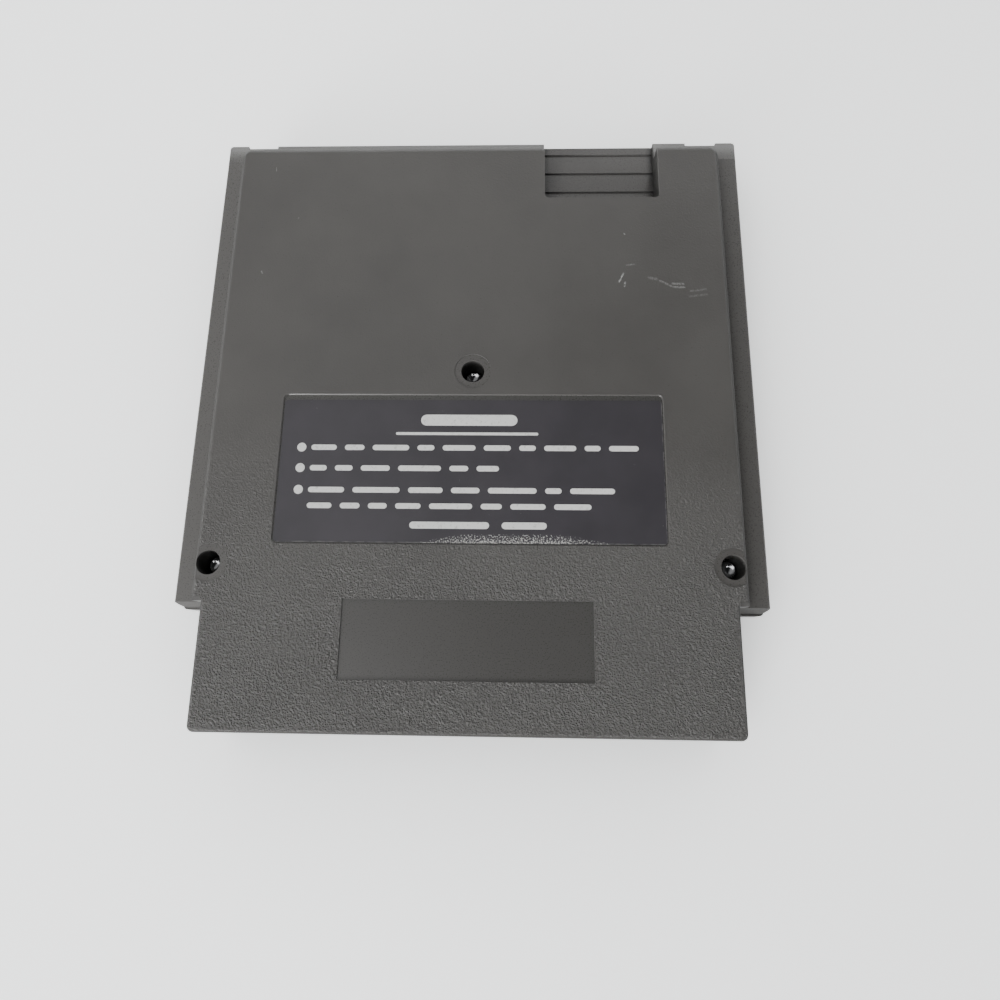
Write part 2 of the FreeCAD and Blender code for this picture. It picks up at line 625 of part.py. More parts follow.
def make_case_screws():
    """Three screws with a bevelled head that six lobes stand out of."""
    body = new_body("case_screws")
    shanks = new_sketch(body, "screw_shanks", SCREW_SEAT)
    heads = new_sketch(body, "screw_heads", SCREW_SEAT)
    for x, y in SCREW_PLACES:
        add_circle(shanks, x, y, "sizes.screw_shank_diameter")
        add_circle(heads, x, y, "sizes.screw_head_diameter")
    pad(body, shanks, f"{SCREW_SEAT} - sizes.shell_wall - sizes.screw_tip_gap", reversed_way=True)
    pad(body, heads, "sizes.screw_head_height")
    head_top = evaluate(sheet, f"{SCREW_SEAT} + sizes.screw_head_height")
    tip = evaluate(sheet, "sizes.shell_wall + sizes.screw_tip_gap")
    chamfer(body, "screw_head_rims", "sizes.screw_head_bevel", lambda edge: is_level(edge, head_top))
    chamfer(body, "screw_tips", "sizes.screw_shank_diameter / 4", lambda edge: is_level(edge, tip))
    flutes = new_sketch(body, "screw_flutes", f"{SCREW_SEAT} + sizes.screw_head_height")
    rim = "(sizes.screw_head_diameter / 2)"
    root = f"({rim} - sizes.screw_flute_depth)"
    spread = f"asin(sizes.screw_flute_width / 2 / {rim})"
    for x, y in SCREW_PLACES:
        for turn in range(30, 390, 60):
            corners = ((f"(2 * {rim} - {root})", f"{turn} deg - {spread}"), (root, f"{turn} deg"),
                       (f"(2 * {rim} - {root})", f"{turn} deg + {spread}"))
            add_polygon(flutes, [(f"{x} + {reach} * cos({angle})", f"{y} + {reach} * sin({angle})")
                                 for reach, angle in corners])
    pocket(body, flutes, "sizes.screw_head_height * 3 / 4")
    return body


def make_rear_label():
    body = new_body("rear_label")
    outline = new_sketch(body, "label_outline", f"{BACK_FACE} - sizes.label_recess_depth")
    half = "(sizes.label_recess_width / 2 - sizes.label_margin)"
    add_rectangle(outline, f"-{half}", half, f"{LABEL_BOTTOM} + sizes.label_margin",
                  f"{LABEL_TOP} - sizes.label_head_margin")
    pad(body, outline, "sizes.label_thickness")
    fillet(body, "label_corners", "sizes.label_recess_radius - sizes.label_margin", is_upright)
    return body


def make_circuit_board():
    body = new_body("circuit_board")
    outline = new_sketch(body, "board_outline", BOARD_UNDERSIDE)
    half = ((TONGUE_HALF, "sizes.board_reach"), (TONGUE_HALF, BOARD_SHOULDER), (BOARD_HALF, BOARD_SHOULDER),
            (BOARD_HALF, BOARD_END))
    add_polygon(outline, half + tuple((f"-{x}", y) for x, y in reversed(half)))
    pad(body, outline, "sizes.board_thickness")
    openings = new_sketch(body, "board_openings", BOARD_TOP)
    for side in ("", "-"):
        add_circle(openings, f"{side}{POST_X}", "sizes.post_reach",
                   "sizes.post_pin_diameter + 2 * sizes.post_fit")
        add_circle(openings, f"{side}{LOWER_SCREW_X}", LOWER_SCREW_Y,
                   "sizes.back_boss_diameter + 2 * sizes.board_boss_gap")
    pocket(body, openings, "sizes.board_thickness")
    return body


def make_contacts(label, level, downwards):
    """One row of gold fingers on a face of the board's tongue."""
    body = new_body(label)
    finger = new_sketch(body, label + "_finger", level)
    first = f"(-{CONTACT_SPAN} / 2)"
    start = "sizes.board_reach + sizes.contact_inset"
    add_rectangle(finger, f"{first} - sizes.contact_width / 2", f"{first} + sizes.contact_width / 2", start,
                  f"{start} + sizes.contact_length")
    plate = pad(body, finger, "sizes.contact_thickness", reversed_way=downwards)
    linear_pattern(body, label + "_row", [plate], "X_Axis", "sizes.contact_pitch", "sizes.contact_count")
    return body


def place_on_board(body, x, end_inset, height="0"):
    """Moves a piece that is modelled about its own middle to its place on the board's top."""
    body.setExpression("Placement.Base.x", x)
    body.setExpression("Placement.Base.y", f"{BOARD_END} - {end_inset} - {LENGTH} / 2")
    body.setExpression("Placement.Base.z", f"{BOARD_TOP} + {height}")


def make_chip(label, kind, x):
    """A moulded chip body with bevelled rims and an index notch, and its two rows of bent leads."""
    length, width, height = (f"sizes.{kind}_{name}" for name in ("length", "width", "height"))
    end_inset = f"sizes.{kind}_end_inset"
    chip_top = f"(sizes.chip_standoff + {height})"

    body = new_body(label)
    block = new_sketch(body, label + "_block", "sizes.chip_standoff")
    add_rectangle(block, f"-{length} / 2", f"{length} / 2", f"-{width} / 2", f"{width} / 2")
    pad(body, block, height)
    top = evaluate(sheet, chip_top)
    bottom = evaluate(sheet, "sizes.chip_standoff")
    chamfer(body, label + "_bevel", "sizes.chip_edge_bevel",
            lambda edge: is_level(edge, top) or is_level(edge, bottom))
    index = new_sketch(body, label + "_index", chip_top)
    add_circle(index, f"-{length} / 2", "0", "2 * sizes.index_notch_radius")
    pocket(body, index, "sizes.index_notch_depth")
    place_on_board(body, x, end_inset)

    leads = new_body(label + "_leads")
    row = f"(sizes.{kind}_row_spacing / 2)"
    count = f"sizes.{kind}_lead_count"
    first = f"(-({count} - 1) * sizes.lead_pitch / 2)"
    middle = f"(sizes.chip_standoff + {height} / 2)"
    lead = new_sketch(leads, label + "_lead", first, "YZ_Plane")
    half_thick = "sizes.lead_thickness / 2"
    inner, outer = f"{row} - {half_thick}", f"{row} + {half_thick}"
    under, over = f"{middle} - {half_thick}", f"{middle} + {half_thick}"
    add_polygon(lead, ((f"{width} / 2", under), (inner, under), (inner, "0"), (outer, "0"), (outer, over),
                       (f"{width} / 2", over)))
    bent = pad(leads, lead, "sizes.lead_width", symmetric=True)
    linear_pattern(leads, label + "_lead_row", [bent], "X_Axis", "sizes.lead_pitch", count)
    mirrored(leads, label + "_lead_rows", "XZ_Plane")
    place_on_board(leads, x, end_inset)
    return [body, leads]


def make_bulk_capacitor():
    """A small electrolytic lying on the board: can, sleeve, rubber bung and two bent wires."""
    end = "(sizes.can_length / 2)"
    cup = "(sizes.can_diameter - 2 * sizes.can_wall)"
    axis_height = "(sizes.can_diameter / 2 + sizes.sleeve_gap + sizes.sleeve_thickness)"
    can = new_body("bulk_capacitor_can")
    can_round = new_sketch(can, "can_round", f"-{end}", "YZ_Plane")
    add_circle(can_round, "0", "0", "sizes.can_diameter")
    pad(can, can_round, "sizes.can_length")
    closed_end = evaluate(sheet, f"-{end}")
    chamfer(can, "can_rim", "sizes.can_rim_bevel",
            lambda edge: near(edge.BoundBox.XMin, closed_end) and near(edge.BoundBox.XMax, closed_end))
    can_cup = new_sketch(can, "can_cup", end, "YZ_Plane")
    add_circle(can_cup, "0", "0", cup)
    pocket(can, can_cup, "sizes.bung_length")

    sleeve = new_body("bulk_capacitor_sleeve")
    tube = new_sketch(sleeve, "sleeve_tube", f"-{end} + sizes.can_rim_bevel", "YZ_Plane")
    bore = "sizes.can_diameter + 2 * sizes.sleeve_gap"
    add_circle(tube, "0", "0", f"{bore} + 2 * sizes.sleeve_thickness")
    add_circle(tube, "0", "0", bore)
    pad(sleeve, tube, "sizes.can_length - sizes.can_rim_bevel")

    bung = new_body("bulk_capacitor_bung")
    plug = new_sketch(bung, "bung_plug", end, "YZ_Plane")
    add_circle(plug, "0", "0", f"{cup} - 2 * sizes.sleeve_gap")
    pad(bung, plug, "sizes.bung_length", reversed_way=True)

    leads = new_body("bulk_capacitor_leads")
    wires = new_sketch(leads, "bulk_wires", end, "YZ_Plane")
    legs = new_sketch(leads, "bulk_legs", f"-{axis_height}")
    for side in ("", "-"):
        place = f"{side}sizes.bulk_lead_spacing / 2"
        add_square(wires, place, "0", "sizes.bulk_lead_width")
        add_square(legs, f"{end} + sizes.bulk_lead_reach", place, "sizes.bulk_lead_width")
    pad(leads, wires, "sizes.bulk_lead_reach")
    pad(leads, legs, f"{axis_height} + sizes.bulk_lead_width / 2")

    pieces = [can, sleeve, bung, leads]
    for piece in pieces:
        place_on_board(piece, "-sizes.bulk_offset", "sizes.bulk_end_inset", axis_height)
    return pieces


def make_ceramic_capacitors():
    """Two ceramic discs that stand on their wires between the memory chips."""
    middle = "(sizes.ceramic_standoff + sizes.ceramic_diameter / 2)"
    places = ("sizes.ceramic_spacing / 2", "-sizes.ceramic_spacing / 2")
    discs = new_body("ceramic_capacitors")
    faces = new_sketch(discs, "ceramic_faces", "0", "YZ_Plane")
    leads = new_body("ceramic_capacitor_leads")
    wires = new_sketch(leads, "ceramic_wires")
    seats = new_sketch(leads, "ceramic_seats", "0", "YZ_Plane")
    for place in places:
        add_circle(faces, place, middle, "sizes.ceramic_diameter")
        add_circle(seats, place, middle, "sizes.ceramic_diameter")
        for side in ("+", "-"):
            middle_line = f"{place} {side} sizes.ceramic_lead_spacing / 2"
            add_square(wires, "0", middle_line, "sizes.ceramic_lead_width")
    pad(discs, faces, "sizes.ceramic_depth", symmetric=True)
    pad(leads, wires, middle)
    pocket(leads, seats, "sizes.ceramic_depth", symmetric=True)
    for piece in (discs, leads):
        place_on_board(piece, "0", "sizes.ceramic_end_inset")
    return [discs, leads]


def make_pieces():
    pieces = [make_back_shell(), make_front_shell(), make_case_screws(), make_rear_label()]
    pieces.append(make_circuit_board())
    pieces.append(make_contacts("rear_contacts", BOARD_TOP, False))
    pieces.append(make_contacts("front_contacts", BOARD_UNDERSIDE, True))
    pieces += make_chip("program_chip", "memory", "-sizes.memory_offset")
    pieces += make_chip("graphics_chip", "memory", "sizes.memory_offset")
    pieces += make_chip("lockout_chip", "lockout", "sizes.lockout_offset")
    pieces += make_bulk_capacitor()
    pieces += make_ceramic_capacitors()
    return pieces


def write(pieces):
    doc.recompute()
    failed = [item.Name for item in doc.Objects if "Invalid" in item.State or "Error" in item.State]
    if failed:
        raise RuntimeError("failed: " + ", ".join(failed))
    for piece in pieces:
        if piece.Shape.isNull() or not piece.Shape.isValid():
            raise RuntimeError("bad shape: " + piece.Label)
    os.makedirs("parts", exist_ok=True)
    for piece in pieces:
        piece.Shape.exportStep("parts/%s.step" % piece.Label)
        print(piece.Label, len(piece.Shape.Solids), "solids", round(piece.Shape.Volume, 2), "mm3")


write(make_pieces())
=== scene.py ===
import math
import random

import bmesh
import bpy
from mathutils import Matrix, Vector


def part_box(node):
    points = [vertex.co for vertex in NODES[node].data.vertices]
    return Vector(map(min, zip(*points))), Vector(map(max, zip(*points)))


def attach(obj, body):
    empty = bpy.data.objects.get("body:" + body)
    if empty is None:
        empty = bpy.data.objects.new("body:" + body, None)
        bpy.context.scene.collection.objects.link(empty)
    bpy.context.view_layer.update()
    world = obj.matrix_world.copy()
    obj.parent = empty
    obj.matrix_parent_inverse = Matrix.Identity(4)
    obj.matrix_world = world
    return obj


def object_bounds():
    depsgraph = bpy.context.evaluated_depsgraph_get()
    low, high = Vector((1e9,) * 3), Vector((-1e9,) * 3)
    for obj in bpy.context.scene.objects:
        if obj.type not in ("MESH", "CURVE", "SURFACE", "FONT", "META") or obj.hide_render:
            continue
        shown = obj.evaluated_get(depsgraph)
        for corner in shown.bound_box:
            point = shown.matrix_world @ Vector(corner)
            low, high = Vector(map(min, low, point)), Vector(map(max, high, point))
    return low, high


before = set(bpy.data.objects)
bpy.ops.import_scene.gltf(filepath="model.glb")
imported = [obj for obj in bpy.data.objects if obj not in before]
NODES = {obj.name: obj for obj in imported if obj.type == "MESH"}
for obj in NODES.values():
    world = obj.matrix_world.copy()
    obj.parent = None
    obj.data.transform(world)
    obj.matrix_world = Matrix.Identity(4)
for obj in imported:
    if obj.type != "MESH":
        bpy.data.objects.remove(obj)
CAD_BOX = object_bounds()

# Lengths below are in millimetres of the part's own frame: X across, Y towards the grip end, Z up.
MM = 0.001
FRONT_FACE = CAD_BOX[0][2] / MM
BACK_FACE = CAD_BOX[1][2] / MM
LABEL_LOW, LABEL_HIGH = (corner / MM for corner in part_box("rear_label"))
SCREWS_LOW, SCREWS_HIGH = (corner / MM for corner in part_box("case_screws"))

# Camera, solved from the casing's straight edges
CAMERA_PLACE = (9.82, -51.73, 147.61)
CAMERA_TURN_DEGREES = (13.155, 1.451, 0.765)
CAMERA_LENS = 23.94
SENSOR_WIDTH = 36.0
NEAR_CLIP = 5.0

# Studio lights: place in metres, width and height, and power
SOFTBOXES = {
    "left_window": ((-0.62, 0.25, 1.1), (1.4, 1.2), 4.2),
    "far_window": ((0.18, 1.2, 0.8), (1.7, 0.6), 6.0),
    "front_left_window": ((-0.82, -1.25, 0.42), (0.7, 0.4), 15.0),
    "front_left_panel": ((-0.6, -1.15, 0.65), (0.6, 0.5), 7.0),
    "right_fill": ((1.0, 0.0, 0.9), (2.0, 1.4), 0.3),
    "left_high_panel": ((-0.5, -0.35, 1.0), (0.4, 0.4), 3.2),
    "ceiling_lamp_left": ((-0.20, -0.46, 1.1), (0.12, 0.12), 0.65),
    "ceiling_lamp_right": ((0.22, -0.46, 1.1), (0.12, 0.12), 0.65),
}
WORLD_COLOUR = (0.97, 0.99, 1.0, 1.0)
WORLD_STRENGTH = 0.04

# Linear base colours
PLASTIC_DARK = (0.0745, 0.0712, 0.0680, 1.0)
PLASTIC_LIGHT = (0.0885, 0.0850, 0.0808, 1.0)
GRAIN_COLOUR = (0.118, 0.114, 0.108, 1.0)
# Painted shade for the rounded rims
RIM_SHADE_COLOUR = (0.030, 0.029, 0.028, 1.0)
# Painted shade for the grain's pits
PIT_SHADE_COLOUR = (0.045, 0.043, 0.041, 1.0)
SUNK_COLOUR = (0.064, 0.062, 0.059, 1.0)
# Painted light for the flanges' tops
FLANGE_LIGHT_COLOUR = (0.103, 0.0995, 0.095, 1.0)
# Painted highlight for the far edge
FAR_EDGE_HIGHLIGHT = (0.23, 0.228, 0.222, 1.0)
# Painted light for the walls of low steps and the notch's ridges
PAINTED_LIGHT_COLOUR = (0.17, 0.168, 0.164, 1.0)
# Painted shade for the screw wells and the finger notch's corners
PAINTED_SHADE_COLOUR = (0.016, 0.016, 0.015, 1.0)
SCUFF_COLOUR = (0.46, 0.46, 0.45, 1.0)
LABEL_DARK = (0.040, 0.037, 0.043, 1.0)
LABEL_LIGHT = (0.050, 0.046, 0.053, 1.0)
PAPER_COLOUR = (0.48, 0.48, 0.46, 1.0)
INK_COLOUR = (0.80, 0.80, 0.78, 1.0)
INK_WORN = (0.60, 0.60, 0.58, 1.0)
STEEL_DARK = (0.16, 0.16, 0.164, 1.0)
STEEL_LIGHT = (0.26, 0.26, 0.266, 1.0)
LACQUER_DARK = (0.010, 0.070, 0.035, 1.0)
LACQUER_LIGHT = (0.016, 0.095, 0.045, 1.0)
TRACK_COLOUR = (0.035, 0.19, 0.075, 1.0)
GOLD_DARK = (0.78, 0.52, 0.18, 1.0)
GOLD_LIGHT = (0.93, 0.72, 0.34, 1.0)
EPOXY_DARK = (0.011, 0.011, 0.012, 1.0)
EPOXY_LIGHT = (0.026, 0.026, 0.027, 1.0)
TIN_DULL = (0.42, 0.41, 0.40, 1.0)
TIN_BRIGHT = (0.66, 0.65, 0.63, 1.0)
CAN_DULL = (0.62, 0.62, 0.63, 1.0)
CAN_BRIGHT = (0.80, 0.80, 0.81, 1.0)
SLEEVE_DARK = (0.008, 0.016, 0.055, 1.0)
SLEEVE_LIGHT = (0.014, 0.026, 0.080, 1.0)
STRIPE_COLOUR = (0.42, 0.44, 0.46, 1.0)
RUBBER_DARK = (0.012, 0.012, 0.012, 1.0)
RUBBER_LIGHT = (0.032, 0.031, 0.030, 1.0)
CERAMIC_DARK = (0.34, 0.17, 0.05, 1.0)
CERAMIC_LIGHT = (0.48, 0.27, 0.09, 1.0)
FLOOR_COLOUR = (0.80, 0.81, 0.81, 1.0)
FLOOR_SHADE = (0.77, 0.78, 0.785, 1.0)

# The floor's glow, its shares at two places across the floor, which paint shade towards the right, and how
# near, in metres, the part dims it as a painted contact shadow
FLOOR_GLOW = 1.78
GLOW_ACROSS = (-130.0, 150.0)
GLOW_SHARES = (1.04, 0.86)
SHADE_REACH = 0.08
SHADE_SAMPLES = 8
SHEET_ROUGHNESS = (0.55, 0.65)

# Floor and the upright backdrop around it, in metres
FLOOR_HALF_WIDTH = 2.6
BACKDROP_RADIUS = 2.5
BACKDROP_HEIGHT = 1.4
BACKDROP_STEPS = 96

# Noise patterns: scale per millimetre, detail, and roughness where it isn't the usual half
CREASES = (1.1, 2.0, 0.6)
PORES = (3.0, 2.0)
SATIN = (5.0, 1.0)
PLASTIC_CLOUDS = (0.035, 3.0, 0.55)
SCUFF_BREAKS = (3.0, 2.0, 0.7)
MATT = (4.0, 2.0)
BRUSHING = (6.0, 3.0, 0.6)
LABEL_CLOUDS = (0.06, 3.0, 0.6)
PAPER_FIBRES = (3.0, 2.0, 0.65)
RIM_BREAKS = (0.5, 3.0, 0.7)
SPECKS = (1.1, 3.0, 0.8)
LABEL_RIPPLE = (0.12, 2.0)
LABEL_TEXTURE = (3.0, 1.0)
INK_WEAR = (1.4, 4.0, 0.75)
INK_TEXTURE = (4.0, 2.0)
TRACK_BENDS = (0.08, 1.0)
WEAVE = (3.0, 2.0)
RUB_MARKS = (1.0, 4.0, 0.7)
TARNISH = (1.6, 4.0, 0.65)
SLEEVE_FILM = (1.2, 2.0)
EPOXY_GRIT = (6.0, 3.0, 0.65)
RUBBER_BLOOM = (2.5, 4.0, 0.7)
CERAMIC_RUNS = (0.9, 3.0, 0.6)
SHEET_CLOUDS = (0.006, 3.0, 0.5)
SHEET_TEXTURE = (0.8, 2.0)

# Noise is even about its middle, and most of it lies within the spread
NOISE_MIDDLE = 0.5
NOISE_SPREAD = (0.3, 0.7)

# The leathery grain of the outer faces fades out between these depths under a face. Handling has rubbed it
# down towards the grip end: between these places along the casing it sinks to the share that is left.
GRAIN_FADE = (0.05, 0.14)
GRAIN_RUBBED = (-58.0, 2.0)
GRAIN_LEFT = 0.04
GRAIN_DEPTH = 0.55

# Relief of the grain, as shares of its depth: the creases and where they are level, the pores, and the satin
# that every face has. Then how far the grain lightens the plastic, and how far painted shade darkens its
# pits.
CREASE_LEVEL = 0.09
CREASE_SHARE = 2.0
PORE_SHARE = 0.7
SATIN_SHARE = 0.009
GRAIN_TINT = 0.15
PIT_LEVELS = (-0.25, 0.05)
PIT_SHADE = 0.4

# Depths under a face: between the first two lies the shallow bare plate, and between the last two the
# painted light on low steps' walls ends
PLATE_DEPTHS = (0.18, 0.32)
PLATE_BLUR = 0.02
LOW_STEP_DEPTHS = (0.26, 0.3)

# How level a face is, from 0 for walls to 1: where walls end, where rounded rims end, where the rims'
# painted shade starts, and where upright walls end. Rims carry painted shade and are more matt than faces,
# upright walls less.
WALL_LEVELS = (0.3, 0.7)
RIM_LEVELS = (0.80, 0.93)
ROUNDING_LEVELS = (0.1, 0.35)
ROUNDING_SHADE = 0.6
UPRIGHT_LEVELS = (0.05, 0.25)
UPRIGHT_SHARE = 0.4
RIM_ROUGHNESS = 0.45
LABEL_MARGIN = (-2.0, -1.5)

# Roughness of the plastic, the values of its pattern over which it is spread, and what the outer face adds
PLASTIC_ROUGHNESS = (0.26, 0.42)
MATT_SPREAD = (0.3, 0.8)
FACE_MATT = 0.10

# Painted shade fills the screw wells: out to these radii, deepening between these depths
WELL_SHADE_RADII = (2.5, 2.6)
WELL_SHADE_DEPTHS = (0.2, 1.6)
WELL_SHADE = 0.75
SCREW_HEAD_RADIUS = 2.2

# Painted shade darkens the finger notch's corners, out to this reach from its sides. Its ridges' walls are
# painted pale, as painted light.
NOTCH_SIDES = (15.3, 40.9)
NOTCH_SIDE_BLUR = (-0.2, -0.05)
NOTCH_STARTS = (48.2, 48.4)
NOTCH_DEPTHS = (0.6, 1.4)
NOTCH_SHADE_REACH = 1.8
NOTCH_SHADE = 0.7
RIDGE_ENDS = (0.2, 0.4)

# The far edge behind the panel is painted pale as a painted highlight: between these places along the casing,
# at these depths
FAR_EDGE = (62.5, 66.0)
FAR_EDGE_DEPTHS = (2.5, 5.2)
FAR_EDGE_BLUR = 0.2

# The flanges' tops are painted paler than the panel, as painted light: from about this far out, and below
# about this depth
FLANGE_STARTS = (54.8, 55.0)
FLANGE_DEPTHS = (1.4, 1.6)

# Scuffs: the span of noise over which they break up, their relief as a share of the grain's depth, and the
# share of a stroke's half width that is at full strength
SCUFF_SPAN = (0.36, 0.58)
SCUFF_RISE = 0.3
STROKE_CORE = 0.2

# Scuffs on the back: start, end, half width and strength of each stroke
SCUFFS = (
    ((32.3, 29.4), (31.7, 28.2), 0.28, 1.0),
    ((31.6, 27.9), (31.3, 27.4), 0.30, 0.7),
    ((32.6, 27.2), (32.4, 26.3), 0.26, 0.8),
    ((33.0, 31.4), (34.7, 31.6), 0.22, 0.3),
    ((37.7, 28.3), (39.3, 28.0), 0.50, 0.17),
    ((40.1, 27.6), (42.4, 26.3), 0.36, 0.20),
    ((42.7, 26.9), (45.1, 26.8), 0.34, 0.26),
    ((42.9, 26.1), (45.2, 26.0), 0.34, 0.28),
    ((46.6, 25.1), (49.8, 25.5), 0.36, 0.12),
    ((46.2, 23.8), (50.0, 24.3), 0.32, 0.10),
    ((-47.2, 30.1), (-47.0, 29.7), 0.22, 0.5),
    ((-46.3, 56.6), (-46.2, 55.8), 0.16, 0.3),
    ((-40.1, 43.6), (-40.1, 43.3), 0.20, 0.3),
    ((32.7, 39.2), (32.8, 39.0), 0.22, 0.5),
)

# Paper shows where the label is rubbed along its lower edge: middle and half length across, the share of it
# that is rubbed to the full height, the height, how fast the rubbing grows towards the edge, and its limits
RUB_MIDDLE = 9.0
RUB_HALF_LENGTH = 22.0
RUB_FULL_SHARE = 0.35
RUB_HEIGHT = 1.9
RUB_GROWTH = 0.06
RUB_SPAN = (0.57, 0.66)
RUB_BLUR = (-0.1, 0.25)

# Paper also shows at two cut edges, broken up along them, and in scattered specks
LABEL_RIM = 0.25
LABEL_RIM_CORE = 0.3
LABEL_RIM_TINT = 0.22
RIM_BREAK_SPAN = (0.35, 0.65)
SPECK_STRETCH = (1.0, 1.3, 1.0)
SPECK_SPAN = (0.735, 0.76)
SPECK_TINT = 0.6
LABEL_ROUGHNESS = (0.36, 0.8)
LABEL_RIPPLE_SHARE = 1.5
LABEL_RELIEF = 0.012

# Plain shapes printed on the label, as start and end across, row and height
HEADING = (-10.5, 9.5, -4.4, 2.4)
RULE = (-15.6, 13.8, -7.35, 0.6)
FOOT_BARS = ((-12.0, 4.0, -26.6, 1.4), (6.5, 15.5, -26.6, 1.4))
DOT_X = -35.0
DOT_RADIUS = 0.95
DOT_ROWS = (-10.4, -14.8, -19.4)
BAR_START = -33.0
BAR_ROWS = ((-10.4, 35.5), (-14.8, 10.5), (-19.4, 30.0), (-22.7, 25.5))
BAR_HEIGHT = 1.15
BAR_LENGTHS = (3.0, 10.0)
BAR_GAP = 1.7
PRINT_THICKNESS = 0.02
PRINT_SEED = 7
ARC_STEPS = 10
INK_WEAR_SPAN = (0.52, 0.68)
INK_ROUGHNESS = (0.42, 0.6)
INK_RELIEF = 0.006

# Screws: the sphere that their dished heads follow, and the relief and roughness of the brushed metal
SCREW_DISH_RADIUS = 3.0
BRUSHING_RELIEF = 0.01
STEEL_ROUGHNESS = (0.08, 0.14)

# Tracks on the board: spacing, how far they wander, the span of a lane that is copper, and the relief
TRACK_PITCH = 2.5
TRACK_WANDER = 6.0
TRACK_SPAN = (0.28, 0.33)
TRACK_RELIEF = 0.03
WEAVE_SHARE = 0.2
LACQUER_ROUGHNESS = (0.28, 0.4)

# Contacts: the rub marks run lengthwise
RUB_STRETCH = (9.0, 0.5, 1.0)
RUB_MARK_SPAN = (0.35, 0.65)
GOLD_ROUGHNESS = (0.22, 0.42)
GOLD_RELIEF = 0.008

# Tinned leads and the capacitor's can: least roughness, how much the tarnish adds, and relief
TIN_ROUGHNESS = 0.26
CAN_ROUGHNESS = 0.2
TARNISH_ROUGHNESS = 0.16
TARNISH_RELIEF = 0.012

# The capacitor's sleeve: the stripe starts and is full at these shares of the width from its side
STRIPE_SHARES = (0.30, 0.28)
SLEEVE_ROUGHNESS = (0.25, 0.38)
SLEEVE_RELIEF = 0.01

# Rounding of the edges of the screws and of the ceramic discs, on edges sharper than the angle
SCREW_ROUNDING = 0.3
DISC_ROUNDING = 0.8
ROUNDING_SEGMENTS = 3
ROUNDING_ANGLE_DEGREES = 30
WELD_DISTANCE = 0.001


class Finish:
    """A procedural material in the making. Each method adds a node and returns what it gives out."""

    def __init__(self, name):
        self.material = bpy.data.materials.new(name)
        self.material.use_nodes = True
        self.tree = self.material.node_tree
        self.shader = self.tree.nodes["Principled BSDF"]
        metres = self.node("ShaderNodeTexCoord").outputs["Object"]
        scaled = self.node("ShaderNodeVectorMath", {"Vector": metres, "Scale": 1 / MM}, operation="SCALE")
        self.place = scaled.outputs["Vector"]
        self.x, self.y, self.z = self.node("ShaderNodeSeparateXYZ", {"Vector": self.place}).outputs

    def node(self, kind, inputs=None, **settings):
        node = self.tree.nodes.new(kind)
        for setting, value in settings.items():
            setattr(node, setting, value)
        for socket, value in (inputs or {}).items():
            self.feed(node.inputs[socket], value)
        return node

    def feed(self, socket, value):
        if isinstance(value, bpy.types.NodeSocket):
            self.tree.links.new(value, socket)
        else:
            socket.default_value = value

    def set(self, socket, value):
        self.feed(self.shader.inputs[socket], value)

    def math(self, operation, first, second=0.0, clamp=False):
        node = self.node("ShaderNodeMath", {0: first, 1: second}, operation=operation, use_clamp=clamp)
        return node.outputs["Value"]

    def ramp(self, value, start, end, low=0.0, high=1.0):
        """Takes start to low and end to high, smoothly, and stays level outside."""
        inputs = {"Value": value, "From Min": start, "From Max": end, "To Min": low, "To Max": high}
        return self.node("ShaderNodeMapRange", inputs, interpolation_type="SMOOTHSTEP").outputs["Result"]

    def noise(self, per_mm, detail, roughness=0.5, place=None):
        inputs = {"Vector": place or self.place, "Scale": per_mm, "Detail": detail, "Roughness": roughness}
        return self.node("ShaderNodeTexNoise", inputs).outputs[0]

    def levelness(self):
        """1 on level faces and 0 on upright ones."""
        normal = self.node("ShaderNodeNewGeometry").outputs["True Normal"]
        return self.math("ABSOLUTE", self.node("ShaderNodeSeparateXYZ", {"Vector": normal}).outputs["Z"])

    def within(self, value, low, high):
        """How far a value is inside two limits, negative outside."""
        return self.math("MINIMUM", self.math("SUBTRACT", value, low), self.math("SUBTRACT", high, value))

    def from_axis(self, x, y):
        """Distance in plan from an upright axis."""
        inputs = {0: self.stretched(1.0, 1.0, 0.0), 1: (x, y, 0.0)}
        return self.node("ShaderNodeVectorMath", inputs, operation="DISTANCE").outputs["Value"]

    def stretched(self, x, y, z):
        """The place, scaled along each axis."""
        inputs = {0: self.place, 1: (x, y, z)}
        return self.node("ShaderNodeVectorMath", inputs, operation="MULTIPLY").outputs["Vector"]

    def blend(self, factor, first, second):
        """Goes from the first colour to the second. The mix node's colour sockets go by number."""
        return self.node("ShaderNodeMix", {0: factor, 6: first, 7: second}, data_type="RGBA").outputs[2]

    def bump(self, height, depth):
        """Raises the surface by the height times the depth in millimetres."""
        node = self.node("ShaderNodeBump", {"Strength": 1.0, "Distance": depth * MM, "Height": height})
        self.set("Normal", node.outputs["Normal"])

    def stroke(self, start, end, half_width):
        """1 along a line in plan and 0 beyond its half width."""
        run = Vector(end) - Vector(start)
        across = self.math("SUBTRACT", self.x, start[0])
        along = self.math("SUBTRACT", self.y, start[1])
        share = self.math("ADD", self.math("MULTIPLY", across, run.x / run.length_squared),
                          self.math("MULTIPLY", along, run.y / run.length_squared), clamp=True)
        off_x = self.math("SUBTRACT", across, self.math("MULTIPLY", share, run.x))
        off_y = self.math("SUBTRACT", along, self.math("MULTIPLY", share, run.y))
        square = self.math("ADD", self.math("MULTIPLY", off_x, off_x), self.math("MULTIPLY", off_y, off_y))
        return self.ramp(self.math("SQRT", square), STROKE_CORE * half_width, half_width, 1.0, 0.0)


def dress(finish, *nodes):
    """Gives CAD nodes a finish."""
    for node in nodes:
        NODES[node].data.materials.clear()
        NODES[node].data.materials.append(finish.material)


